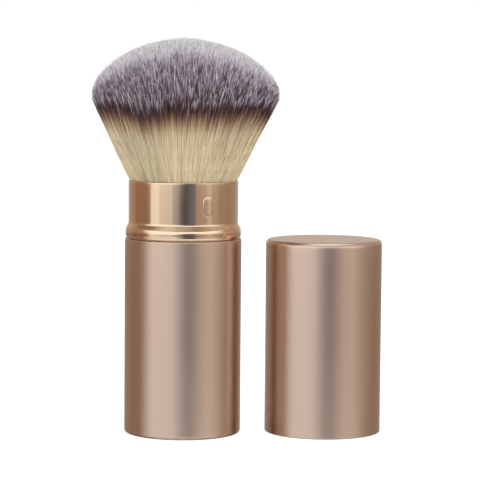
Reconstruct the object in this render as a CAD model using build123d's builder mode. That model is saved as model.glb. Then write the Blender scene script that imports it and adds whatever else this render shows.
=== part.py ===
from build123d import *
import os
from math import cos, pi, radians, sin, sqrt

# Retractable powder brush, drawn out ready for use, with its cap taken off and stood beside it.
# Millimetres. The origin is the centre of the base's foot, +Z runs up the brush's axis,
# and +X points towards the cap.

# Shared stock and fits
shell_wall = 0.5
glue_gap = 0.05
rim_round = 0.15
cut_overrun = 1.0

# Base shell, which is also the handle
body_radius = 14.0
base_height = 46.8
foot_round = 0.6

# Cap, drawn from the same stock as the base
cap_height = 46.6
cap_top_round = 1.0
cap_gap = 5.9
cap_setback = 2.9

# Steel weight in the foot
weight_thickness = 2.5
weight_radius = 12.6
weight_chamfer = 0.4

# Liner, glued into the base shell, with a land at its mouth that stops the sleeve
liner_wall = 0.5
liner_foot_gap = 0.2
liner_setback = 0.3
land_height = 3.0
land_chamfer = 0.25
land_clearance = 0.1

# Carrier: a keyed post that stands on the weight and holds the brush head
flange_thickness = 1.6
post_radius = 4.6
post_bore_radius = 2.6
fin_count = 4
fin_thickness = 1.2
fin_clearance = 0.25
fin_top_gap = 0.5
plate_thickness = 2.0
plate_radius = 10.6
spigot_radius = 4.0
spigot_height = 2.2
shelf_thickness = 1.5

# Foot bush on the sleeve's lower end, and the silicone ring in its groove
bush_rest_gap = 0.3
bush_clearance = 0.1
bush_wall = 0.5
bush_height = 4.2
lip_thickness = 1.4
key_depth = 0.7
key_side_gap = 0.15
key_end_gap = 0.2
drag_ring_height = 1.5
drag_ring_seat = 0.6
drag_groove_depth = 0.25
drag_ring_squeeze_gap = 0.02

# Sleeve: a tube that runs in the base, a rolled bead, and a collar that takes the cap
tube_wall = 0.4
bead_gap = 0.25
bead_height = 4.0
bead_crest_height = 1.5
bead_inset = 0.14
collar_height = 9.65
collar_clearance = 0.36
grip_width = 2.2
grip_length = 4.9
grip_rise = 0.32
grip_height = 3.95
grip_angle = 27.4
grip_count = 2

# Ferrule cup that holds the bristles' roots
ferrule_clearance = 0.15
ferrule_wall = 0.35
ferrule_height = 11.3
ferrule_setback = 3.9

# Socket plug and screw in the ferrule's bottom
socket_height = 6.0
screw_radius = 1.25
screw_clearance = 0.15
pilot_gap = 0.03
pilot_end_gap = 0.4
screw_head_radius = 2.2
screw_head_height = 1.5
screw_reach = 5.0
driver_slot_width = 0.6
driver_slot_depth = 0.7

# Bristle tuft: rings of strands that fan out of the ferrule and end on a dome
slice_setback = 1.6
slice_thickness = 0.8
root_depth = 0.3
neck_clearance = 0.64
tuft_radius = 22.4
tuft_widest_height = 20.6
tuft_height = 33.8
ring_count = 9
strands_per_ring = 7
ring_twist = 17.0
strand_sides = 3
strand_girth_share = 0.47
belly_share = 0.8
tip_radius = 0.18

# Radii, worked from the outside in
shell_bore_radius = body_radius - shell_wall
liner_radius = shell_bore_radius - glue_gap
liner_bore_radius = liner_radius - liner_wall
flange_radius = liner_bore_radius - glue_gap
bush_radius = liner_bore_radius - bush_clearance
bush_bore_radius = bush_radius - bush_wall
groove_radius = bush_radius - drag_groove_depth
tube_radius = bush_bore_radius - glue_gap
tube_bore_radius = tube_radius - tube_wall
land_bore_radius = tube_radius + land_clearance
ferrule_radius = tube_bore_radius - ferrule_clearance
ferrule_bore_radius = ferrule_radius - ferrule_wall
plug_radius = ferrule_bore_radius - glue_gap
spigot_bore_radius = spigot_radius + glue_gap
fin_radius = tube_bore_radius - fin_clearance
lip_bore_radius = fin_radius - key_depth
collar_radius = shell_bore_radius - collar_clearance
collar_bore_radius = collar_radius - tube_wall
bead_radius = body_radius - bead_inset

# Heights above the table, worked up from the foot
weight_top = shell_wall + weight_thickness
flange_top = weight_top + flange_thickness
liner_bottom = foot_round + liner_foot_gap
liner_top = base_height - liner_setback
land_bottom = liner_top - land_height
bush_bottom = flange_top + bush_rest_gap
bush_top = bush_bottom + bush_height
tube_bottom = bush_bottom + lip_thickness
groove_bottom = tube_bottom + drag_ring_seat
bead_bottom = base_height + bead_gap
bead_crest = bead_bottom + bead_crest_height
bead_top = bead_bottom + bead_height
mouth_height = bead_top + collar_height
ferrule_top = mouth_height - ferrule_setback
ferrule_bottom = ferrule_top - ferrule_height
plate_bottom = ferrule_bottom - plate_thickness
fin_top = plate_bottom - fin_top_gap
spigot_top = ferrule_bottom + spigot_height
shelf_bottom = spigot_top - shelf_thickness
socket_bottom = ferrule_bottom + ferrule_wall
socket_top = socket_bottom + socket_height
screw_top = shelf_bottom + screw_reach
slice_top = ferrule_top - slice_setback
slice_bottom = slice_top - slice_thickness
root_height = slice_top - root_depth

# The bead's crown is one arc: it rises from the collar to the crest and turns in again below it
crown_rise = bead_top - bead_crest
crown_depth = bead_radius - collar_radius
crown_radius = (crown_rise**2 + crown_depth**2) / (2 * crown_depth)
bead_foot_radius = bead_radius - crown_radius + sqrt(crown_radius**2 - bead_crest_height**2)

# The tuft's rays all start from one point on the axis, below the ferrule
widest_height = mouth_height + tuft_widest_height
dome_height = tuft_height - tuft_widest_height
neck_radius = collar_bore_radius - neck_clearance
fan_slope = (tuft_radius - neck_radius) / tuft_widest_height
apex_height = mouth_height - neck_radius / fan_slope

os.makedirs("parts", exist_ok=True)
standing = (Align.CENTER, Align.CENTER, Align.MIN)


def add_tube(inner_radius, outer_radius, bottom, top):
    """Add a ring on the brush's axis to the piece being built."""
    with BuildSketch(Plane.XY.offset(bottom)) as ring:
        Circle(outer_radius)
        Circle(inner_radius, mode=Mode.SUBTRACT)
    extrude(ring.sketch, amount=top - bottom)


def dome_reach(slope):
    """How far above the apex a ray of this slope meets the dome of bristle tips."""
    centre = widest_height - apex_height
    bend = (slope / tuft_radius) ** 2 + (1 / dome_height) ** 2
    lean = centre / dome_height**2
    under_root = lean**2 - bend * ((centre / dome_height) ** 2 - 1)
    return (lean + sqrt(max(under_root, 0))) / bend


def make_strand(ring, turn):
    """One bristle, flat side out: it widens with the fan, then tapers to its tip on the dome."""
    slope = fan_slope * ring / ring_count
    girth = fan_slope / ring_count * strand_girth_share
    root = root_height - apex_height
    tip = dome_reach(slope)
    belly = tip * belly_share
    outward = Vector(cos(turn), sin(turn), 0)
    with BuildPart() as bristle:
        for rise, radius in ((root, root * girth), (belly, belly * girth), (tip, tip_radius)):
            place = outward * (slope * rise) + Vector(0, 0, apex_height + rise)
            with BuildSketch(Plane(origin=place, x_dir=-outward, z_dir=(0, 0, 1))):
                RegularPolygon(radius, strand_sides)
        loft(ruled=True)
    return bristle.part


def make_tuft():
    """Every bristle: one on the axis, then rings, each turned a little past the last."""
    tuft = [make_strand(0, 0)]
    for ring in range(1, ring_count + 1):
        count = strands_per_ring * ring
        for place in range(count):
            tuft.append(make_strand(ring, 2 * pi * place / count + radians(ring_twist) * ring))
    print("bristles:", len(tuft))
    return tuft


# Base shell: a drawn aluminium cup, open at the top
with BuildPart() as base_shell:
    Cylinder(body_radius, base_height, align=standing)
    fillet(base_shell.faces().sort_by(Axis.Z)[0].edges(), foot_round)
    offset(amount=-shell_wall, openings=base_shell.faces().sort_by(Axis.Z)[-1])
    fillet(base_shell.faces().sort_by(Axis.Z)[-1].edges(), rim_round)

# Weight: a steel disc on the shell's floor
with BuildPart() as base_weight:
    with BuildSketch(Plane.XY.offset(shell_wall)):
        Circle(weight_radius)
    extrude(amount=weight_thickness)
    chamfer(base_weight.edges(), weight_chamfer)

# Liner: the bore that the sleeve's bush runs in, with the stop land at its mouth
with BuildPart() as base_liner:
    add_tube(liner_bore_radius, liner_radius, liner_bottom, land_bottom)
    add_tube(land_bore_radius, liner_radius, land_bottom, liner_top)
    mouth_edges = base_liner.faces().sort_by(Axis.Z)[-1].edges()
    chamfer(mouth_edges.sort_by(SortBy.RADIUS)[0], land_chamfer)

# Carrier: floor flange, hollow post with key fins, head plate, and a spigot with a shelf for the screw
with BuildPart() as carrier:
    add_tube(post_bore_radius, flange_radius, weight_top, flange_top)
    add_tube(post_bore_radius, post_radius, flange_top, plate_bottom)
    add_tube(post_bore_radius, plate_radius, plate_bottom, ferrule_bottom)
    add_tube(post_bore_radius, spigot_radius, ferrule_bottom, shelf_bottom)
    add_tube(screw_radius + screw_clearance, spigot_radius, shelf_bottom, spigot_top)
    with BuildSketch(Plane.XY.offset(flange_top)):
        with PolarLocations((fin_radius + post_bore_radius) / 2, fin_count):
            Rectangle(fin_radius - post_bore_radius, fin_thickness)
        Circle((post_radius + post_bore_radius) / 2, mode=Mode.SUBTRACT)
    extrude(amount=fin_top - flange_top)

# Foot bush: guides the sleeve in the liner, meets the land at full draw, and is keyed on the fins
with BuildPart() as foot_bush:
    add_tube(lip_bore_radius, bush_radius, bush_bottom, tube_bottom)
    add_tube(bush_bore_radius, bush_radius, tube_bottom, bush_top)
    with BuildSketch(Plane.XY.offset(bush_bottom - cut_overrun)):
        with PolarLocations((fin_radius + key_end_gap) / 2, fin_count):
            Rectangle(fin_radius + key_end_gap, fin_thickness + 2 * key_side_gap)
    extrude(amount=lip_thickness + cut_overrun, mode=Mode.SUBTRACT)
    with BuildSketch(Plane.XY.offset(groove_bottom)):
        Circle(bush_radius + cut_overrun)
        Circle(groove_radius, mode=Mode.SUBTRACT)
    extrude(amount=drag_ring_height + 2 * glue_gap, mode=Mode.SUBTRACT)

# Drag ring: silicone, it rubs the liner so that the sleeve stays where it is put
with BuildPart() as drag_ring:
    add_tube(
        groove_radius + drag_ring_squeeze_gap,
        liner_bore_radius - drag_ring_squeeze_gap,
        groove_bottom + glue_gap,
        groove_bottom + glue_gap + drag_ring_height,
    )

# Grip: a capsule bump that is pressed out of the collar, made lying on its own plane
grip_middle = bead_top + grip_height
grip_base_radius = collar_radius - tube_wall / 2
with BuildPart() as grip:
    with BuildSketch(Plane(origin=(grip_base_radius, 0, grip_middle), x_dir=(0, 0, 1), z_dir=(1, 0, 0))):
        SlotOverall(grip_length, grip_width)
    extrude(amount=collar_radius + grip_rise - grip_base_radius)
    fillet(grip.faces().sort_by(Axis.X)[-1].edges(), rim_round)

# Sleeve: tube, bead and collar are turned as one section, then the grips stand on the collar
with BuildPart() as sleeve:
    with BuildSketch(Plane.XZ):
        with BuildLine():
            Polyline(
                (collar_radius, bead_top),
                (collar_radius, mouth_height),
                (collar_bore_radius, mouth_height),
                (collar_bore_radius, bead_bottom + tube_wall),
                (tube_bore_radius, bead_bottom + tube_wall),
                (tube_bore_radius, tube_bottom),
                (tube_radius, tube_bottom),
                (tube_radius, bead_bottom),
                (bead_foot_radius, bead_bottom),
            )
            ThreePointArc(
                (bead_foot_radius, bead_bottom),
                (bead_radius, bead_crest),
                (collar_radius, bead_top),
            )
        make_face()
    revolve(axis=Axis.Z)
    fillet(sleeve.faces().sort_by(Axis.Z)[-1].edges(), rim_round)
    with PolarLocations(0, grip_count, start_angle=grip_angle - 90):
        add(grip.part)

# Ferrule: a drawn aluminium cup with a hole in its bottom for the carrier's spigot
with BuildPart() as ferrule:
    add_tube(spigot_bore_radius, ferrule_radius, ferrule_bottom, socket_bottom)
    add_tube(ferrule_bore_radius, ferrule_radius, socket_bottom, ferrule_top)

# Socket: the plug in the ferrule's bottom that the screw bites into
with BuildPart() as head_socket:
    add_tube(spigot_bore_radius, plug_radius, socket_bottom, spigot_top + glue_gap)
    add_tube(screw_radius + pilot_gap, plug_radius, spigot_top + glue_gap, screw_top + pilot_end_gap)
    with BuildSketch(Plane.XY.offset(screw_top + pilot_end_gap)):
        Circle(plug_radius)
    extrude(amount=socket_top - screw_top - pilot_end_gap)

# Screw: up through the carrier's shelf into the socket, with its slot facing down
with BuildPart() as head_screw:
    with BuildSketch(Plane.XY.offset(shelf_bottom - screw_head_height)):
        Circle(screw_head_radius)
    extrude(amount=screw_head_height)
    with BuildSketch(Plane.XY.offset(shelf_bottom)):
        Circle(screw_radius)
    extrude(amount=screw_reach)
    with BuildSketch(Plane.XY.offset(shelf_bottom - screw_head_height)):
        Rectangle(2 * screw_head_radius + cut_overrun, driver_slot_width)
    extrude(amount=driver_slot_depth, mode=Mode.SUBTRACT)

# Root resin: the set adhesive between the socket and the bristles
with BuildPart() as root_resin:
    with BuildSketch(Plane.XY.offset(socket_top)):
        Circle(plug_radius)
    extrude(amount=slice_bottom - socket_top)

# Bristles: every strand, joined to a slice of the resin that holds the roots
tuft_strands = make_tuft()
with BuildPart() as bristles:
    with BuildSketch(Plane.XY.offset(slice_bottom)):
        Circle(plug_radius)
    extrude(amount=slice_thickness)
    add(tuft_strands)

# Cap: a drawn aluminium cup that stands on its rim beside the brush
with BuildPart(Plane(origin=(2 * body_radius + cap_gap, cap_setback, 0))) as cap_shell:
    Cylinder(body_radius, cap_height, align=standing)
    fillet(cap_shell.faces().sort_by(Axis.Z)[-1].edges(), cap_top_round)
    offset(amount=-shell_wall, openings=cap_shell.faces().sort_by(Axis.Z)[0])
    fillet(cap_shell.faces().sort_by(Axis.Z)[0].edges(), rim_round)

pieces = {
    "base_shell": base_shell,
    "base_weight": base_weight,
    "base_liner": base_liner,
    "carrier": carrier,
    "foot_bush": foot_bush,
    "drag_ring": drag_ring,
    "sleeve": sleeve,
    "ferrule": ferrule,
    "head_socket": head_socket,
    "head_screw": head_screw,
    "root_resin": root_resin,
    "bristles": bristles,
    "cap_shell": cap_shell,
}
for name, piece in pieces.items():
    piece.part.label = name
    export_step(piece.part, f"parts/{name}.step")
print("sleeve stroke:", land_bottom - bush_top)
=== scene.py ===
import math

import bmesh
import bpy
import numpy as np
from mathutils import Matrix, Vector
from mathutils.kdtree import KDTree


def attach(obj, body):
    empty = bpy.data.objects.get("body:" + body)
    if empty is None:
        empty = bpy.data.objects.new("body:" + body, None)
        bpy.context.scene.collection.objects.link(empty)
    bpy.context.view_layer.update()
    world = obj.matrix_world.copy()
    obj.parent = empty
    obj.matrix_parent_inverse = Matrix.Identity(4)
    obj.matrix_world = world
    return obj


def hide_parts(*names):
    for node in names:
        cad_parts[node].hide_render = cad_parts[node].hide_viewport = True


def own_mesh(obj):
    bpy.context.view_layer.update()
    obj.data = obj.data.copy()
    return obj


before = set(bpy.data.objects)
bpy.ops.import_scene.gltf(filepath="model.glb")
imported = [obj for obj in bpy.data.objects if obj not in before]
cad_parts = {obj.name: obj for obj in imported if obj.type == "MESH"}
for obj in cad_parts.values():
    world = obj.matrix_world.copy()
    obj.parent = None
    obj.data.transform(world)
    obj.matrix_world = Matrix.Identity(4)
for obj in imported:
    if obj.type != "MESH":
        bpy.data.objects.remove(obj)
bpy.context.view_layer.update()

mm = 0.001  # sizes below are in millimetres, and Blender's are in metres
noiseRange = {"From Min": 0.3, "From Max": 0.7}  # nearly all of a noise pattern lies in this range
print("frame loaded:", len(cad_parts), "pieces")


def linearColour(hexCode):
    # sRGB hex to the linear values that a colour socket takes
    shares = [int(hexCode[i:i + 2], 16) / 255 for i in (1, 3, 5)]
    return [s / 12.92 if s <= 0.04045 else ((s + 0.055) / 1.055) ** 2.4 for s in shares] + [1.0]


def addNode(tree, kind, inputs=None, **settings):
    # one node, with its settings, and its inputs as values or as links from other nodes
    node = tree.nodes.new(kind)
    for name, value in settings.items():
        setattr(node, name, value)
    for socket, value in (inputs or {}).items():
        if isinstance(value, bpy.types.NodeSocket):
            tree.links.new(value, node.inputs[socket])
        else:
            node.inputs[socket].default_value = value
    return node


def emptyTree(owner):
    # the node tree of a material or a world, with nothing in it yet
    owner.use_nodes = True
    owner.node_tree.nodes.clear()
    return owner.node_tree


def newMaterial(name):
    # a material with its shader and its output, and its place in object space
    material = bpy.data.materials.new(name)
    tree = emptyTree(material)
    shader = addNode(tree, "ShaderNodeBsdfPrincipled")
    addNode(tree, "ShaderNodeOutputMaterial", {"Surface": shader.outputs["BSDF"]})
    place = addNode(tree, "ShaderNodeTexCoord").outputs["Object"]
    return material, tree, shader, place


def setRamp(node, stops):
    # colour ramp stops, each a position and a hex colour
    ramp = node.color_ramp
    while len(ramp.elements) > 1:
        ramp.elements.remove(ramp.elements[-1])
    ramp.elements[0].position = stops[0][0]
    ramp.elements[0].color = linearColour(stops[0][1])
    for position, hexCode in stops[1:]:
        ramp.elements.new(position).color = linearColour(hexCode)


# Anodised aluminium, bead blasted before dyeing: a soft satin sheen with no grain that the eye can follow
satinMetal = {
    "colour": "#DFC6B4", "roughness": 0.3, "spread": 0.012, "cloudSize": 9.0,
    "gritSize": 0.12, "gritBump": 0.004, "gritStrength": 0.12,
}
satinAluminium, tree, shader, place = newMaterial("anodised_aluminium_satin_rose")
shader.inputs["Base Color"].default_value = linearColour(satinMetal["colour"])
shader.inputs["Metallic"].default_value = 1.0
grit = addNode(tree, "ShaderNodeTexNoise", {
    "Vector": place, "Scale": 1 / (satinMetal["gritSize"] * mm), "Detail": 2.0,
})
cloud = addNode(tree, "ShaderNodeTexNoise", {
    "Vector": place, "Scale": 1 / (satinMetal["cloudSize"] * mm), "Detail": 3.0,
})
spread = addNode(tree, "ShaderNodeMapRange", {
    "Value": cloud.outputs["Fac"], **noiseRange,
    "To Min": satinMetal["roughness"] - satinMetal["spread"],
    "To Max": satinMetal["roughness"] + satinMetal["spread"],
})
tree.links.new(spread.outputs["Result"], shader.inputs["Roughness"])
dents = addNode(tree, "ShaderNodeBump", {
    "Height": grit.outputs["Fac"], "Strength": satinMetal["gritStrength"],
    "Distance": satinMetal["gritBump"] * mm,
})
tree.links.new(dents.outputs["Normal"], shader.inputs["Normal"])

# Anodised aluminium, polished before dyeing: clear reflections, just softened by the oxide layer
brightMetal = {"colour": "#EFD3B6", "roughness": 0.07, "smoother": 0.01, "rougher": 0.015, "smearSize": 6.0}
brightAluminium, tree, shader, place = newMaterial("anodised_aluminium_polished_gold")
shader.inputs["Base Color"].default_value = linearColour(brightMetal["colour"])
shader.inputs["Metallic"].default_value = 1.0
smear = addNode(tree, "ShaderNodeTexNoise", {
    "Vector": place, "Scale": 1 / (brightMetal["smearSize"] * mm), "Detail": 2.0,
})
spread = addNode(tree, "ShaderNodeMapRange", {
    "Value": smear.outputs["Fac"], **noiseRange,
    "To Min": brightMetal["roughness"] - brightMetal["smoother"],
    "To Max": brightMetal["roughness"] + brightMetal["rougher"],
})
tree.links.new(spread.outputs["Result"], shader.inputs["Roughness"])

# ABS, injection moulded with a light spark texture: off white and slightly waxy
plastic = {
    "colour": "#E9E4D9", "deep": "#E4DED2", "roughness": 0.42, "ior": 1.54,
    "grainSize": 0.25, "grainBump": 0.01, "grainStrength": 0.3,
}
mouldedAbs, tree, shader, place = newMaterial("moulded_abs")
shader.inputs["Roughness"].default_value = plastic["roughness"]
shader.inputs["IOR"].default_value = plastic["ior"]
grain = addNode(tree, "ShaderNodeTexNoise", {
    "Vector": place, "Scale": 1 / (plastic["grainSize"] * mm), "Detail": 3.0,
})
tint = addNode(tree, "ShaderNodeValToRGB", {"Fac": grain.outputs["Fac"]})
setRamp(tint, [(0.35, plastic["deep"]), (0.65, plastic["colour"])])
tree.links.new(tint.outputs["Color"], shader.inputs["Base Color"])
dents = addNode(tree, "ShaderNodeBump", {
    "Height": grain.outputs["Fac"], "Strength": plastic["grainStrength"],
    "Distance": plastic["grainBump"] * mm,
})
tree.links.new(dents.outputs["Normal"], shader.inputs["Normal"])

# Mild steel, turned and zinc plated: fine rings from the tool, cool and slightly dull
turnedSteel = {
    "colour": "#C6C8CA", "roughness": 0.34, "ringPitch": 0.35, "ringWander": 0.4, "ringBump": 0.006,
    "ringStrength": 0.4,
}
platedSteel, tree, shader, place = newMaterial("turned_steel_zinc_plated")
shader.inputs["Base Color"].default_value = linearColour(turnedSteel["colour"])
shader.inputs["Metallic"].default_value = 1.0
shader.inputs["Roughness"].default_value = turnedSteel["roughness"]
# a wave of this scale repeats every 2 pi / 20 of its coordinate
rings = addNode(tree, "ShaderNodeTexWave", {
    "Vector": place, "Scale": 2 * math.pi / 20 / (turnedSteel["ringPitch"] * mm),
    "Distortion": turnedSteel["ringWander"],
}, wave_type="RINGS", rings_direction="Z")
dents = addNode(tree, "ShaderNodeBump", {
    "Height": rings.outputs["Fac"], "Strength": turnedSteel["ringStrength"],
    "Distance": turnedSteel["ringBump"] * mm,
})
tree.links.new(dents.outputs["Normal"], shader.inputs["Normal"])

# Silicone rubber, moulded: milky, soft to the touch, with a dull surface
silicone = {
    "colour": "#D9D6D0", "roughness": 0.5, "spread": 0.08, "ior": 1.41, "milk": 0.3, "milkDepth": 0.5,
    "bloomSize": 1.2,
}
mouldedSilicone, tree, shader, place = newMaterial("moulded_silicone")
shader.inputs["IOR"].default_value = silicone["ior"]
shader.inputs["Subsurface Weight"].default_value = silicone["milk"]
shader.inputs["Subsurface Scale"].default_value = silicone["milkDepth"] * mm
shader.inputs["Base Color"].default_value = linearColour(silicone["colour"])
bloom = addNode(tree, "ShaderNodeTexNoise", {
    "Vector": place, "Scale": 1 / (silicone["bloomSize"] * mm), "Detail": 4.0,
})
spread = addNode(tree, "ShaderNodeMapRange", {
    "Value": bloom.outputs["Fac"], "To Min": silicone["roughness"] - silicone["spread"],
    "To Max": silicone["roughness"] + silicone["spread"],
})
tree.links.new(spread.outputs["Result"], shader.inputs["Roughness"])

# Epoxy, poured and set: amber, glossy, a little uneven where it met the roots
epoxy = {"colour": "#C7AE78", "deep": "#B4975C", "roughness": 0.18, "ior": 1.55, "swirlSize": 2.0}
setEpoxy, tree, shader, place = newMaterial("set_epoxy")
shader.inputs["Roughness"].default_value = epoxy["roughness"]
shader.inputs["IOR"].default_value = epoxy["ior"]
swirl = addNode(tree, "ShaderNodeTexNoise", {
    "Vector": place, "Scale": 1 / (epoxy["swirlSize"] * mm), "Detail": 3.0,
})
tint = addNode(tree, "ShaderNodeValToRGB", {"Fac": swirl.outputs["Fac"]})
setRamp(tint, [(0.3, epoxy["deep"]), (0.7, epoxy["colour"])])
tree.links.new(tint.outputs["Color"], shader.inputs["Base Color"])

# PBT fibre, drawn and tapered, dyed from the tip down: pale tip, lilac grey, a dark plum band, then cream.
# Towards
# the roots the cream darkens: that is painted shade, where the fibres crowd into the sleeve's mouth. Across,
# its UV map gives each fibre one of the shade steps. Up, it holds the distance from the tip, plus a lead.
fibre = {
    "roughness": 0.46, "ior": 1.55, "lead": 8.0, "span": 38.0, "shadeSteps": 64, "shades": (0.84, 1.14),
    # each colour by its distance from the tip, with painted shade darkening the cream past 18 mm
    "dyeAndRootShade": [
        (-8.0, "#BAB9B9"), (-1.0, "#BEBBBD"), (0.0, "#C8C3C9"), (0.6, "#B4AAB6"), (1.15, "#8E808F"),
        (1.65, "#5A4550"), (2.15, "#301C24"), (3.1, "#392223"), (4.1, "#694738"), (5.4, "#8E6C51"),
        (7.1, "#B99F7C"), (9.4, "#CFBE9B"), (18.0, "#CDBC98"), (21.0, "#C6B591"), (23.0, "#B7A682"),
        (30.0, "#B7A682"),
    ],
}
dyedFibre, tree, shader, place = newMaterial("pbt_fibre_dyed_tips")
shader.inputs["Roughness"].default_value = fibre["roughness"]
shader.inputs["IOR"].default_value = fibre["ior"]
strandMap = addNode(tree, "ShaderNodeUVMap", uv_map="OFBake")
parts = addNode(tree, "ShaderNodeSeparateXYZ", {"Vector": strandMap.outputs["UV"]})
# the ramp holds the dye and, towards the roots, painted shade
dyeAndRootShade = addNode(tree, "ShaderNodeValToRGB", {"Fac": parts.outputs["Y"]})
setRamp(dyeAndRootShade, [((distance + fibre["lead"]) / fibre["span"], hexCode) for distance, hexCode in fibre["dyeAndRootShade"]])
steps = float(fibre["shadeSteps"])
step = addNode(tree, "ShaderNodeMath", {0: parts.outputs["X"], 1: steps}, operation="MULTIPLY")
whole = addNode(tree, "ShaderNodeMath", {0: step.outputs[0]}, operation="FLOOR")
shade = addNode(tree, "ShaderNodeMapRange", {
    "Value": whole.outputs[0], "From Max": steps,
    "To Min": fibre["shades"][0], "To Max": fibre["shades"][1],
})
worn = addNode(tree, "ShaderNodeHueSaturation", {
    "Color": dyeAndRootShade.outputs["Color"], "Value": shade.outputs["Result"],
})
tree.links.new(worn.outputs["Color"], shader.inputs["Base Color"])
print("materials made")


def meshFrom(bm, name):
    # the mesh that was being made, finished
    mesh = bpy.data.meshes.new(name)
    bm.to_mesh(mesh)
    bm.free()
    return mesh


def addObject(name, data):
    # an object at the origin, in the scene
    added = bpy.data.objects.new(name, data)
    bpy.context.scene.collection.objects.link(added)
    return added


def startSection(corners, closed):
    # the section in the XZ plane: a line through the corners, each rounded by its own radius
    bm = bmesh.new()
    points = [bm.verts.new((radius * mm, 0, height * mm)) for radius, height, _ in corners]
    bm.verts.ensure_lookup_table()
    for first, second in zip(points, points[1:] + points[:1] if closed else points[1:]):
        bm.edges.new((first, second))
    for point, (_, _, rounding) in zip(points, corners):
        if rounding:
            bmesh.ops.bevel(
                bm, geom=[point], offset=rounding * mm, offset_type="OFFSET", segments=4,
                profile=0.5, affect="VERTICES", material=-1,
            )
    return bm


def spinAll(bm, steps):
    # a full turn of everything about the brush's axis
    bmesh.ops.spin(
        bm, geom=bm.verts[:] + bm.edges[:], cent=(0, 0, 0), axis=(0, 0, 1), dvec=(0, 0, 0),
        angle=2 * math.pi, steps=steps, use_merge=True, use_duplicate=False,
    )


def turnSection(bm, steps):
    # the section turned into a shell, with the seam and the poles closed
    spinAll(bm, steps)
    bmesh.ops.remove_doubles(bm, verts=bm.verts[:], dist=0.002 * mm)
    bmesh.ops.recalc_face_normals(bm, faces=bm.faces[:])


def finishPiece(bm, name, material, body, replaced):
    # one smooth object at the origin, which rides on its body and stands for its node
    mesh = meshFrom(bm, name)
    mesh.materials.append(material)
    mesh.shade_smooth()
    piece = addObject(name, mesh)
    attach(piece, body)
    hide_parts(replaced)
    return piece


def addRounding(piece, levels):
    smooth = piece.modifiers.new("rounding", "SUBSURF")
    smooth.levels = levels
    smooth.render_levels = levels


# Each row of a section is a radius, a height and a rounding. Rows with no rounding hold a wall straight.
# They stand one or two holds past a rounded corner, at the disc's radius on a flat end, and as far as away
# says from the end of a wall.
shell = {
    "bodyRadius": 14.0, "bore": 13.5, "lip": 0.22, "hold": 0.35, "disc": 4.0, "away": 8.0,
    "turnSteps": 64, "levels": 2,
}
wall, bore, lip = shell["bodyRadius"], shell["bore"], shell["lip"]
hold, disc, away = shell["hold"], shell["disc"], shell["away"]
thick = wall - bore

baseShell = {"height": 46.8, "foot": 0.6}
top, foot = baseShell["height"], baseShell["foot"]
section = startSection([
    (0, 0, 0), (disc, 0, 0), (wall - foot - 2 * hold, 0, 0), (wall, 0, foot), (wall, foot + 2 * hold, 0),
    (wall, away, 0), (wall, top / 2, 0), (wall, top - away, 0), (wall, top - lip - hold, 0),
    (wall, top, lip), (bore, top, lip), (bore, top - lip - hold, 0), (bore, top / 2, 0),
    (bore, foot + 2 * hold, 0), (bore, thick, foot - thick), (wall - foot - 2 * hold, thick, 0),
    (disc, thick, 0), (0, thick, 0),
], closed=False)
turnSection(section, shell["turnSteps"])
basePiece = finishPiece(section, "base_shell_satin", satinAluminium, "base", "base_shell")
addRounding(basePiece, shell["levels"])

capShell = {"height": 46.6, "shoulder": 1.0, "place": (33.9, 2.9, 0.0)}
top, shoulder = capShell["height"], capShell["shoulder"]
section = startSection([
    (0, top, 0), (disc, top, 0), (wall - shoulder - 2 * hold, top, 0), (wall, top, shoulder),
    (wall, top - shoulder - 2 * hold, 0), (wall, top - away, 0), (wall, top / 2, 0), (wall, away, 0),
    (wall, lip + hold, 0), (wall, 0, lip), (bore, 0, lip), (bore, lip + hold, 0), (bore, top / 2, 0),
    (bore, top - shoulder - 2 * hold, 0), (bore, top - thick, shoulder - thick),
    (wall - shoulder - 2 * hold, top - thick, 0), (disc, top - thick, 0), (0, top - thick, 0),
], closed=False)
turnSection(section, shell["turnSteps"])
bmesh.ops.translate(section, verts=section.verts[:], vec=Vector(capShell["place"]) * mm)
capPiece = finishPiece(section, "cap_shell_satin", satinAluminium, "cap", "cap_shell")
addRounding(capPiece, shell["levels"])

sleeve = {
    "mouth": 60.7, "collar": 13.14, "collarBore": 12.74, "tube": 12.3, "tubeBore": 11.9, "tubeBottom": 6.3,
    # the thickness under the collar, and the roundings of the mouth, the lower end and the inner folds
    "floor": 0.4, "lip": 0.15, "edge": 0.1, "fold": 0.08,
    # how far the holding rows stand from a fold, a bore's fold, the floor, the bead and the mouth
    "nearFold": 0.3, "nearBore": 0.2, "overFloor": 0.4, "overBead": 1.0, "underMouth": 4.0,
    # the rolled bead, from its flare down to its curled foot
    "bead": [
        (13.14, 50.5, 0.3), (13.8, 49.35, 0.5), (13.86, 48.5, 0.3), (13.83, 47.6, 0.15), (13.75, 47.2, 0.1),
        (13.64, 46.97, 0.05),
    ],
    "turnSteps": 64, "levels": 2,
}
mouth, collar, collarBore = sleeve["mouth"], sleeve["collar"], sleeve["collarBore"]
tube, tubeBore, bottom = sleeve["tube"], sleeve["tubeBore"], sleeve["tubeBottom"]
lip, edge, fold, near = sleeve["lip"], sleeve["edge"], sleeve["fold"], sleeve["nearFold"]
flare, underBead = sleeve["bead"][0][1], sleeve["bead"][-1][1]
inFloor = underBead + sleeve["floor"]
section = startSection([
    (collar, mouth, lip), (collar, mouth - lip - hold, 0), (collar, mouth - sleeve["underMouth"], 0),
    (collar, flare + sleeve["overBead"], 0), *sleeve["bead"],
    (tube + near, underBead, 0), (tube, underBead, 0), (tube, underBead - near, 0),
    (tube, bottom + near, 0), (tube, bottom, edge), (tubeBore, bottom, edge), (tubeBore, bottom + near, 0),
    (tubeBore, inFloor - near, 0), (tubeBore, inFloor, fold), (tubeBore + near, inFloor, 0),
    (collarBore - sleeve["nearBore"], inFloor, 0), (collarBore, inFloor, fold),
    (collarBore, inFloor + sleeve["overFloor"], 0), (collarBore, mouth - lip - hold, 0),
    (collarBore, mouth, lip),
], closed=True)
turnSection(section, sleeve["turnSteps"])

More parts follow.
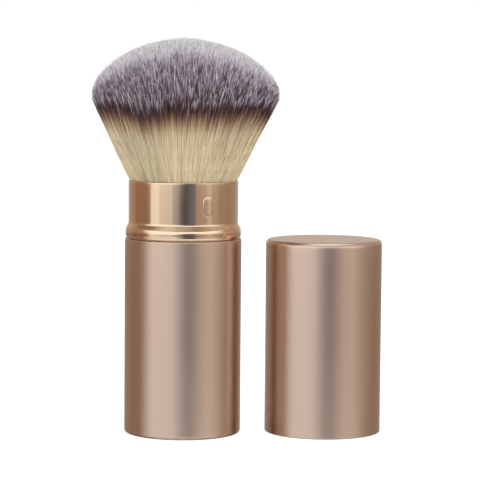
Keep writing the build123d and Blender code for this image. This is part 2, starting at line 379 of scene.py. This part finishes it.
# Grips: capsules pressed out of the collar. Each is made flat, then wrapped round it.
grip = {
    "width": 2.5, "length": 5.2, "height": 55.0, "angles": (27.4, 207.4), "sides": 28,
    # how far each ring of the capsule stands in from its edge, and out from the collar
    "rings": [
        (0.0, -0.2), (0.0, -0.02), (0.05, 0.14), (0.12, 0.21), (0.22, 0.245), (0.45, 0.26), (1.0, 0.27),
    ],
}
straight = (grip["length"] - grip["width"]) / 2
for gripAngle in grip["angles"]:
    before = set(section.verts)
    rim = bmesh.ops.create_circle(
        section, cap_ends=True, radius=grip["width"] / 2, segments=grip["sides"],
    )["verts"]
    for vert in rim:
        if abs(vert.co.y) > 1e-6:  # the two on the middle line stay
            vert.co.y += math.copysign(straight, vert.co.y)
    face = rim[0].link_faces[0]
    bmesh.ops.recalc_face_normals(section, faces=[face])
    inset, rise = grip["rings"][0]
    for vert in rim:
        vert.co.z = rise
    for nextInset, rise in grip["rings"][1:]:
        if nextInset > inset:
            bmesh.ops.inset_region(section, faces=[face], thickness=nextInset - inset, use_even_offset=True)
        else:
            face = bmesh.ops.extrude_discrete_faces(section, faces=[face])["faces"][0]
        for vert in face.verts:
            vert.co.z = rise
        inset = nextInset
    for vert in set(section.verts) - before:
        across, along, rise = vert.co
        turn = math.radians(gripAngle) + across / collar
        reach = collar + rise
        vert.co = Vector((reach * math.sin(turn), -reach * math.cos(turn), grip["height"] + along)) * mm
sleevePiece = finishPiece(section, "sleeve_polished", brightAluminium, "sleeve", "sleeve")
addRounding(sleevePiece, sleeve["levels"])
print("shells turned")


# Shares are of the fan's radius, from 0 on the axis to 1 at its edge. The crown is the dome's middle, and the
# rim is where the dome meets the sides. A pair named for a rim is the share where a change starts, and its
# width.
tuft = {
    "seed": 7, "fibres": 48000, "skinFibres": 1600, "locks": 11000, "sectors": 24,
    # a fibre's radius and how much it varies, then over what length it tapers, and to what part of itself,
    # with blunter tips on the crown
    "fibreRadius": 0.055, "girths": (0.75, 1.15), "taper": 4.5, "tipShare": 0.3, "crownTips": 0.45,
    # heights of the roots, the sleeve's mouth and the widest place
    "root": 54.7, "mouth": 60.7, "widest": 81.9,
    # the dome, which is lower to the right, and how finely and from how far below it is searched for a tip
    "domeRadius": 22.52, "domeHeight": 12.9, "domeCurve": 1.77, "slant": 0.3, "domeSteps": 600,
    "underDome": 2.5,
    # how far the tuft leans to the right, from what height, and how sharply
    "lean": 0.47, "leanFrom": 66.0, "leanCurve": 1.5,
    # the outermost fibre's radius by height: inside the ferrule, over the mouth's edge, then straight out
    "fan": [
        (54.6, 11.2), (56.8, 11.3), (58.6, 11.9), (60.2, 12.48), (60.8, 12.66), (61.4, 13.1),
        (62.4, 13.75), (65.0, 15.05), (70.8, 17.8), (76.5, 20.7), (80.0, 22.4), (95.0, 29.7),
    ],
    # where a strand has its rings, from root to tip: fibres beyond the outer share show more, and have more
    "outerShare": 0.9, "outerRings": (0, 0.16, 0.21, 0.34, 0.47, 0.6, 0.74, 0.87, 1.0),
    "innerRings": (0, 0.2, 0.8, 1.0),
    # how evenly the roots stand, with one even skin outside, and the share that no fibre goes beyond
    "rootJitter": 0.006, "skinShares": (0.994, 0.998), "skinJitter": 0.3, "outermost": 0.998,
    # where the crown ends and the sides begin, and how much further it reaches to the left and right
    "crownEdge": (0.12, 0.62), "crownWidth": 0.46,
    # fibres gather into locks over this last length of theirs, less so on the crown
    "lockLength": 15.0, "lockCurve": 1.0, "lockBlur": 0.006, "tipPull": 0.52, "pulls": (0.5, 1.1),
    "crownPull": 0.1,
    # how far fibres cross each other, and how many stray, and how far
    "cross": 0.004, "strayShare": 0.01, "strayReach": 0.02,
    # a fibre's sway, which starts above the mouth and is stilled in a lock
    "wave": 0.026, "waveTurns": (5, 14), "waveStart": 4, "lockStill": 0.8,
    # how much further a strand's section has turned at its tip, in sixths of its turn at the root
    "twist": 5.0,
    # how far tips end below the dome, by fibre and by lock, less on the crown and at the rim
    "fibreDrop": 1.6, "lockDrop": 1.0, "crownDrop": 0.3, "rimDrop": 0.55, "dropRim": (0.78, 0.2),
    # how much of that the dye follows, at the tip and at the dark band's foot
    "dropDye": 0.8, "dropFoot": 0.5,
    # how far the dye is shifted along at the tip: by fibre, by lock, on the crown, whose tips stay pale for
    # longer, and at the rim, whose tips are darker
    "tipShift": 0.36, "fibreShift": 0.85, "lockShift": 0.8, "crownShift": 5.0, "rimShift": -0.95,
    "dyeRim": (0.75, 0.22),
    # how far the dark band's foot is shifted: by fibre, by lock, by a part of the crown's shift, and by more
    # for the few fibres that were dyed for longer
    "footShift": 0.85, "footLockShift": 0.45, "crownFoot": 0.6, "longShare": 0.05, "longShift": 2.5,
    # the foot's rise and fall round the skin: its level, then each wave's height, repeats and turn in degrees
    "footRise": 0.1, "footWaves": [(0.6, 3, 22), (0.35, 7, -26)], "footRim": (0.84, 0.12),
    # how shades of the dye vary, by fibre and by lock
    "shadeSpread": 0.22, "lockShade": 0.1,
    # a fibre is longer than its height by this, which the dye follows
    "stretch": 1.08,
    # the part of its width that the tuft keeps in the drawn up sleeve
    "gathered": 0.51,
}
strandGap = 4  # between the middles of a strand's copies before they are combed: they are under 2 wide
draw = np.random.default_rng(tuft["seed"])


def rising(value, start, width):
    # 0 up to the start, then evenly up to 1 over the width
    return np.clip((value - start) / width, 0, 1)


def onDisc(share, angle):
    # places in the tuft's round section
    return np.stack([share * np.cos(angle), share * np.sin(angle)], axis=1)


def fanRadius(height):
    heights, radii = zip(*tuft["fan"])
    return np.interp(height, heights, radii)


def tipHeight(share):
    # where a fibre at this share of the fan meets the dome: the first height whose radius reaches it
    low, high = tuft["widest"] - tuft["underDome"], tuft["widest"] + tuft["domeHeight"]
    heights = np.linspace(low, high, tuft["domeSteps"])
    above = rising(heights, tuft["widest"], tuft["domeHeight"])
    edge = tuft["domeRadius"] * (1 - above ** tuft["domeCurve"]) ** (1 / tuft["domeCurve"])
    reached = edge / fanRadius(heights)  # falls steadily as the height grows
    return np.interp(-share, -reached, heights)


def makeStrand(rings, name):
    # a three sided prism of one unit, cut across between its rings, with its own map
    bm = bmesh.new()
    bmesh.ops.create_cone(bm, cap_ends=True, cap_tris=False, segments=3, radius1=1, radius2=1, depth=1)
    long = [e for e in bm.edges if abs(e.verts[0].co.z - e.verts[1].co.z) > 0.5]
    bmesh.ops.subdivide_edges(bm, edges=long, cuts=len(rings) - 2, use_grid_fill=False)
    layer = bm.loops.layers.uv.new("OFBake")
    for face in bm.faces:
        first = face.loops[0].vert.co
        flat = abs(face.normal.z) > 0.5
        for index, loop in enumerate(face.loops):
            sameSide = (loop.vert.co - first).xy.length < 0.1
            across = index / 2 if flat else (0.0 if sameSide else 1.0)
            # an end's middle corner is lifted, so that its patch of the map has an area
            loop[layer].uv = (across, loop.vert.co.z + 0.5 + (0.01 * (index == 1) if flat else 0))
    return meshFrom(bm, name)


def repeatStrand(rings, count, name):
    # the strand, repeated by an array and made one mesh
    strand = addObject(name, makeStrand(rings, name))
    rows = strand.modifiers.new("rows", "ARRAY")
    rows.count = count
    rows.use_relative_offset = False
    rows.use_constant_offset = True
    rows.constant_offset_displace = (strandGap, 0, 0)
    bpy.context.view_layer.update()
    mesh = bpy.data.meshes.new_from_object(strand.evaluated_get(bpy.context.evaluated_depsgraph_get()))
    bpy.data.objects.remove(strand)
    return mesh


def combStrands(mesh, rings, fibres):
    # bends each copy of the strand along its own fibre, and writes its map
    count = len(fibres["tip"])
    verts = np.empty(len(mesh.vertices) * 3, np.float32)
    mesh.vertices.foreach_get("co", verts)
    verts = verts.reshape(count, -1, 3).astype(float)
    verts[:, :, 0] -= strandGap * np.arange(count)[:, None]
    along = verts[0, :, 2] + 0.5
    share = np.array(rings)[np.rint(along * (len(rings) - 1)).astype(int)]
    length = (fibres["tip"] - tuft["root"])[:, None]
    height = tuft["root"] + share[None, :] * length
    fromTip = fibres["tip"][:, None] - height
    free = rising(height, tuft["mouth"], (fibres["tip"] - tuft["mouth"])[:, None])
    locked = np.clip(1 - fromTip / tuft["lockLength"], 0, 1) ** tuft["lockCurve"]
    radius = fanRadius(height)
    leaning = rising(height, tuft["leanFrom"], tuft["widest"] - tuft["leanFrom"])
    lean = tuft["lean"] * leaning ** tuft["leanCurve"]
    tipShare = fibres["tipShare"][:, None]
    thick = fibres["girth"][:, None] * (tipShare + (1 - tipShare) * rising(fromTip, 0, tuft["taper"]))
    for axis in (0, 1):
        start, cross, pull = [fibres[key][:, axis, None] for key in ("start", "cross", "pull")]
        spot = start + free * cross + locked * pull
        sway = tuft["wave"] * np.sin(fibres["turns"][:, None] * free + fibres["phase"][:, axis, None])
        sway = sway * np.minimum(tuft["waveStart"] * free, 1) * (1 - tuft["lockStill"] * locked)
        # The second pass reads the first strand after the first pass has moved it along X, so a section's
        # corners lose their angles in Y. The outer strands, all but those at the very front and back, come
        # out as flat ribbons that face the front and the back.
        corner = np.arctan2(verts[0, :, 1], verts[0, :, 0])
        turned = fibres["turn"][:, None] * (1 + tuft["twist"] * along / 6)[None, :] + corner[None, :]
        around = np.cos(turned) if axis == 0 else np.sin(turned)
        verts[:, :, axis] = spot * radius + sway + thick * around + (lean if axis == 0 else 0)
    verts[:, :, 2] = height
    mesh.vertices.foreach_set("co", (verts * mm).astype(np.float32).ravel())
    layer = mesh.uv_layers["OFBake"].uv
    uv = np.empty(len(layer) * 2, np.float32)
    layer.foreach_get("vector", uv)
    uv = uv.reshape(count, -1, 2)
    mapShare = np.interp(uv[0, :, 1], np.linspace(0, 1, len(rings)), rings)
    distance = (1 - mapShare)[None, :] * length * tuft["stretch"]
    # across, a fibre keeps clear of the edges of its shade's step
    uv[:, :, 0] = (fibres["shade"][:, None] + 0.1 + 0.8 * uv[:, :, 0]) / fibre["shadeSteps"]
    byTip = rising(mapShare, rings[-2], 1 - rings[-2])[None, :]
    shift = fibres["footShift"][:, None] * (1 - byTip) + fibres["tipShift"][:, None] * byTip
    uv[:, :, 1] = np.clip((distance - shift + fibre["lead"]) / fibre["span"], 0.002, 0.998)
    layer.foreach_set("vector", uv.ravel())
    mesh.update()


# Fibres are spread evenly over the tuft's round section, and each leans towards its lock
number, lockCount = tuft["fibres"], tuft["locks"]
share = np.sqrt((np.arange(number) + 0.5) / number) + draw.normal(0, tuft["rootJitter"], number)
share = np.clip(share, 0, tuft["outermost"])
angle = np.arange(number) * math.pi * (3 - math.sqrt(5)) + draw.normal(0, tuft["rootJitter"], number)
# the outermost fibres lie side by side in one even skin
skin = np.argsort(share)[-tuft["skinFibres"]:]
share[skin] = draw.uniform(*tuft["skinShares"], len(skin))
jitter = draw.uniform(-tuft["skinJitter"], tuft["skinJitter"], len(skin))
angle[skin] = (np.arange(len(skin)) + jitter) / len(skin) * 2 * math.pi
start = onDisc(share, angle)

locks = onDisc(np.sqrt(draw.random(lockCount)), draw.uniform(0, 2 * math.pi, lockCount))
lockTree = KDTree(lockCount)
for index, spot in enumerate(locks):
    lockTree.insert((*spot, 0), index)
lockTree.balance()
blurred = start + draw.normal(0, tuft["lockBlur"], start.shape)
nearest = np.array([lockTree.find((*spot, 0))[1] for spot in blurred])

# 0 on the crown, 1 round the sides
side = np.interp(share * (1 - tuft["crownWidth"] * np.cos(angle) ** 2), tuft["crownEdge"], (0, 1))
crown = (1 - side) ** 2
cross = draw.normal(0, tuft["cross"], start.shape)
pull = locks[nearest] - start - cross
gathering = tuft["tipPull"] * draw.uniform(*tuft["pulls"], number) * np.maximum(side, tuft["crownPull"])
pull *= gathering[:, None]
stray = draw.random(number) < tuft["strayShare"]
pull[stray] += draw.normal(0, tuft["strayReach"], (stray.sum(), 2))
end = start + cross + pull
reach = np.hypot(end[:, 0], end[:, 1])
over = reach > tuft["outermost"]
pull[over] = end[over] * (tuft["outermost"] / reach[over])[:, None] - start[over] - cross[over]
reach = np.minimum(reach, tuft["outermost"])

drop = tuft["fibreDrop"] * draw.random(number) + tuft["lockDrop"] * draw.random(lockCount)[nearest]
drop *= np.maximum(side, tuft["crownDrop"]) * (1 - tuft["rimDrop"] * rising(reach, *tuft["dropRim"]))
tip = tipHeight(reach) - drop - tuft["slant"] * end[:, 0] * (1 - reach ** 2)

tipShift = draw.normal(tuft["tipShift"], tuft["fibreShift"], number)
tipShift += draw.normal(0, tuft["lockShift"], lockCount)[nearest] * side
rimShift = tuft["rimShift"] * rising(reach, *tuft["dyeRim"])
tipShift += tuft["crownShift"] * crown + rimShift - tuft["dropDye"] * drop
footShift = draw.normal(0, tuft["footShift"], number)
footShift += draw.normal(0, tuft["footLockShift"], lockCount)[nearest]
footShift += draw.exponential(tuft["longShift"], number) * (draw.random(number) < tuft["longShare"])
front = np.degrees(np.arctan2(start[:, 0], -start[:, 1]))  # degrees to the right of the front
uneven = tuft["footRise"]
for waveHeight, repeats, waveTurn in tuft["footWaves"]:
    uneven = uneven + waveHeight * np.cos(np.radians(repeats * (front + waveTurn)))
footShift += uneven * rising(share, *tuft["footRim"]) - tuft["dropFoot"] * drop
footShift += tuft["crownFoot"] * tuft["crownShift"] * crown

shade = draw.normal(0.5, tuft["shadeSpread"], number) + draw.normal(0, tuft["lockShade"], lockCount)[nearest]
fibres = {
    "start": start, "cross": cross, "pull": pull, "tip": tip, "tipShift": tipShift, "footShift": footShift,
    "phase": draw.uniform(0, 2 * math.pi, (number, 2)), "turns": draw.uniform(*tuft["waveTurns"], number),
    "turn": draw.uniform(0, 2 * math.pi, number),
    "girth": tuft["fibreRadius"] * draw.uniform(*tuft["girths"], number),
    "shade": np.floor(np.clip(shade, 0, 0.999) * fibre["shadeSteps"]),
    "tipShare": tuft["tipShare"] + tuft["crownTips"] * (1 - side),
}
turnShare = np.arctan2(start[:, 1], start[:, 0]) / (2 * math.pi) % 1
sectorOf = np.floor(turnShare * tuft["sectors"]).astype(int)
for sector in range(tuft["sectors"]):
    joined = bmesh.new()
    for rings, outer in ((tuft["outerRings"], True), (tuft["innerRings"], False)):
        chosen = np.flatnonzero((sectorOf == sector) & ((share > tuft["outerShare"]) == outer))
        mesh = repeatStrand(rings, len(chosen), "strand")
        combStrands(mesh, rings, {key: value[chosen] for key, value in fibres.items()})
        joined.from_mesh(mesh)
        bpy.data.meshes.remove(mesh)
    piece = finishPiece(joined, f"bristles_{sector + 1:02d}", dyedFibre, "base", "bristles")
    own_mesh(piece)
print("bristles combed:", number)

finishes = {
    "base_liner": mouldedAbs, "carrier": mouldedAbs, "foot_bush": mouldedAbs, "head_socket": mouldedAbs,
    "base_weight": platedSteel, "head_screw": platedSteel, "drag_ring": mouldedSilicone,
    "root_resin": setEpoxy, "ferrule": brightAluminium,
}
for node, finish in finishes.items():
    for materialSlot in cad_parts[node].material_slots:
        materialSlot.material = finish
print("inner pieces finished:", len(finishes))


def grey(level):
    return (level, level, level, 1)


# Floor: white where it is seen, with the shadow kept, and polished where the metal sees it
floor = {"size": 6.0, "glow": 0.93, "diffuse": 0.16, "bounce": 0.8, "polish": 0.72, "polishRoughness": 0.03}
bm = bmesh.new()
bmesh.ops.create_grid(bm, x_segments=1, y_segments=1, size=floor["size"] / 2)
floorMesh = meshFrom(bm, "floor")
addObject("floor", floorMesh)
floorPaint = bpy.data.materials.new("floor_white")
tree = emptyTree(floorPaint)
rays = addNode(tree, "ShaderNodeLightPath")
matt = addNode(tree, "ShaderNodeBsdfDiffuse", {"Color": grey(floor["diffuse"])})
glow = addNode(tree, "ShaderNodeEmission", {"Color": grey(1), "Strength": floor["glow"]})
seen = addNode(tree, "ShaderNodeAddShader", {0: matt.outputs[0], 1: glow.outputs[0]})
bounce = addNode(tree, "ShaderNodeBsdfDiffuse", {"Color": grey(floor["bounce"])})
polish = addNode(tree, "ShaderNodeBsdfGlossy", {
    "Color": grey(floor["polish"]), "Roughness": floor["polishRoughness"],
})
unseen = addNode(tree, "ShaderNodeMixShader", {
    0: rays.outputs["Is Glossy Ray"], 1: bounce.outputs[0], 2: polish.outputs[0],
})
both = addNode(tree, "ShaderNodeMixShader", {
    0: rays.outputs["Is Camera Ray"], 1: unseen.outputs[0], 2: seen.outputs[0],
})
addNode(tree, "ShaderNodeOutputMaterial", {"Surface": both.outputs[0]})
floorMesh.materials.append(floorPaint)

# Light tent: rings of lit cloth and brown flags round the table, seen only by what they light.
# A line is radii and heights in metres. Tones go by degrees to the right of the front, where the camera
# stands in a gap.
tent = {"steps": 96, "metalOnly": ("roof", "overhead_panel"), "rings": {
    # what the sleeve's straight wall reflects
    "low": {"line": [(0.62, 0), (0.62, 0.03)], "strength": 1.0, "tones": [
        (-180, "#B4B0AE"), (-152, "#B4B0AE"), (-148, "#B29A86"), (-122, "#A88E78"), (-114, "#957A66"),
        (-80, "#957A66"), (-73, "#AA8F7C"), (-68, "#F8F6F4"), (-54, "#FFFFFF"), (-46, "#E6E2E0"),
        (-22, "#DCD8D6"), (-20, "#B4B6BE"), (-12, "#A8ACB6"), (-2, "#6A6A72"), (6, "#54545C"),
        (16, "#6E727E"), (26, "#7C7F8A"), (28, "#A69A92"), (48, "#B4A89E"), (57, "#D4CABE"),
        (66, "#B4A89C"), (77, "#B2A498"), (80, "#A2958A"), (110, "#9E8C80"), (140, "#A8988C"),
        (152, "#B4B0AE"), (180, "#B4B0AE"),
    ]},
    # what the satin wall reflects most
    "middle": {"line": [(0.62, 0.03), (0.62, 0.14)], "strength": 1.2, "tones": [
        (-180, "#D4CECA"), (-166, "#C8C0BA"), (-150, "#AA9A8E"), (-128, "#A0907F"), (-114, "#9A806C"),
        (-86, "#9A806C"), (-74, "#DCD0C8"), (-62, "#FFFFFF"), (-16, "#FAFCFF"), (-4, "#B8BECC"),
        (6, "#686C76"), (20, "#5E616A"), (30, "#B8ACA2"), (46, "#E0D6CC"), (66, "#DACFC4"), (84, "#C0AE9F"),
        (110, "#A48E7A"), (130, "#A08E80"), (150, "#B0A296"), (166, "#C8C0BA"), (180, "#D4CECA"),
    ]},
    # a curved soft box over the front, which fades at its ends
    "soft_box": {"line": [(0.62, 0.14), (0.62, 0.34)], "strength": 1.3, "tones": [
        (-180, "#BCB4AC"), (-140, "#A8988C"), (-110, "#907C6C"), (-92, "#907C6C"), (-66, "#FFFFFF"),
        (66, "#FFFFFF"), (96, "#A08C7C"), (130, "#A08C7C"), (180, "#BCB4AC"),
    ]},
    # the tent's roof, lit by the soft box from below
    "roof": {"line": [(0.62, 0.34), (0.46, 0.58), (0.37, 0.62)], "strength": 0.9, "tones": [
        (-180, "#A89684"), (-100, "#8C7D70"), (-78, "#A08C7C"), (-60, "#D4C8BC"), (-40, "#F0ECE8"),
        (-22, "#E4E0DC"), (-14, "#C8C6C6"), (0, "#C4C2C2"), (20, "#B8B0A8"), (36, "#A89C92"),
        (60, "#C4B8AE"), (76, "#D0C4B8"), (125, "#C8BAAE"), (180, "#A89684"),
    ]},
    "overhead_panel": {"line": [(0.37, 0.62), (0.03, 0.62)], "strength": 1.3, "tones": [
        (-180, "#FFFFFF"), (180, "#FFFFFF"),
    ]},
}}
for name, ring in tent["rings"].items():
    bm = bmesh.new()
    points = [bm.verts.new((0, -radius, height)) for radius, height in ring["line"]]
    for pair in zip(points, points[1:]):
        bm.edges.new(pair)
    spinAll(bm, tent["steps"])
    mesh = meshFrom(bm, name)
    cloth = addObject(name, mesh)
    cloth.visible_camera = False
    cloth.visible_shadow = False
    cloth.visible_diffuse = name not in tent["metalOnly"]
    paint = bpy.data.materials.new(name)
    tree = emptyTree(paint)
    place = addNode(tree, "ShaderNodeTexCoord").outputs["Object"]
    # turned so that the front is the middle of the gradient, which runs on to the right
    turned = addNode(tree, "ShaderNodeMapping", {"Vector": place, "Rotation": (0, 0, math.radians(90))})
    sweep = addNode(tree, "ShaderNodeTexGradient", {"Vector": turned.outputs[0]}, gradient_type="RADIAL")
    tones = addNode(tree, "ShaderNodeValToRGB", {"Fac": sweep.outputs["Fac"]})
    setRamp(tones, [((degrees + 180) / 360, hexCode) for degrees, hexCode in ring["tones"]])
    glow = addNode(tree, "ShaderNodeEmission", {
        "Color": tones.outputs["Color"], "Strength": ring["strength"],
    })
    addNode(tree, "ShaderNodeOutputMaterial", {"Surface": glow.outputs[0]})
    mesh.materials.append(paint)

# Soft boxes: one overhead, two in front, two behind and one low on each side. Each is a size and a place in
# metres, and its power in watts.
lamps = {
    "overhead": {"size": 0.7, "place": (-0.05, -0.1, 0.75), "power": 4.0},
    "left": {"size": 0.6, "place": (-0.4, -0.62, 0.5), "power": 3.6},
    "right": {"size": 0.6, "place": (0.4, -0.62, 0.5), "power": 3.8},
    "back_left": {"size": 0.5, "place": (-0.52, 0.54, 0.27), "power": 3.0},
    "back_right": {"size": 0.5, "place": (0.55, 0.54, 0.27), "power": 3.0},
    "low_left": {"size": 0.5, "place": (-0.68, 0.1, 0.12), "power": 2.5},
    "low_right": {"size": 0.5, "place": (0.71, 0.1, 0.12), "power": 2.5},
}
lampTarget = Vector((0.015, 0, 0.05))
for name, lamp in lamps.items():
    light = bpy.data.lights.new(name, "AREA")
    light.shape = "SQUARE"
    light.size = lamp["size"]
    light.energy = lamp["power"]
    holder = addObject(name, light)
    holder.visible_glossy = False  # the metal is lit by the tent
    facing = (lampTarget - Vector(lamp["place"])).to_track_quat("-Z", "Y")
    holder.matrix_world = Matrix.Translation(lamp["place"]) @ facing.to_matrix().to_4x4()

# Surroundings: white where they are seen, reflected or seen through, and a soft fill elsewhere
surroundings = {"fill": 0.45, "seen": 1.0}
world = bpy.data.worlds.new("studio")
bpy.context.scene.world = world
tree = emptyTree(world)
rays = addNode(tree, "ShaderNodeLightPath")
seen = rays.outputs["Is Camera Ray"]
for kind in ("Is Glossy Ray", "Is Transmission Ray"):
    seen = addNode(tree, "ShaderNodeMath", {0: seen, 1: rays.outputs[kind]}, operation="MAXIMUM").outputs[0]
level = addNode(tree, "ShaderNodeMapRange", {
    "Value": seen, "To Min": surroundings["fill"], "To Max": surroundings["seen"],
})
sky = addNode(tree, "ShaderNodeBackground", {"Color": grey(1), "Strength": level.outputs["Result"]})
addNode(tree, "ShaderNodeOutputWorld", {"Surface": sky.outputs[0]})

# Camera: where the photograph was taken from, in metres and degrees
view = {
    "place": (0.01375, -0.52943, 0.08985), "down": 4.692, "left": 0.013, "roll": 0.476,
    "lens": 166.0, "sensor": 36.0, "nearest": 0.01, "furthest": 20,
}
camera = bpy.data.cameras.new("camera")
camera.lens = view["lens"]
camera.sensor_width = view["sensor"]
camera.clip_start = view["nearest"]
camera.clip_end = view["furthest"]
cameraPiece = addObject("camera", camera)
cameraPiece.matrix_world = (
    Matrix.Translation(view["place"]) @ Matrix.Rotation(math.radians(view["left"]), 4, "Z")
    @ Matrix.Rotation(math.radians(90 - view["down"]), 4, "X")
    @ Matrix.Rotation(math.radians(view["roll"]), 4, "Z")
)
bpy.context.scene.camera = cameraPiece
bpy.context.scene.view_settings.view_transform = "Standard"
print("stage, light and camera set")
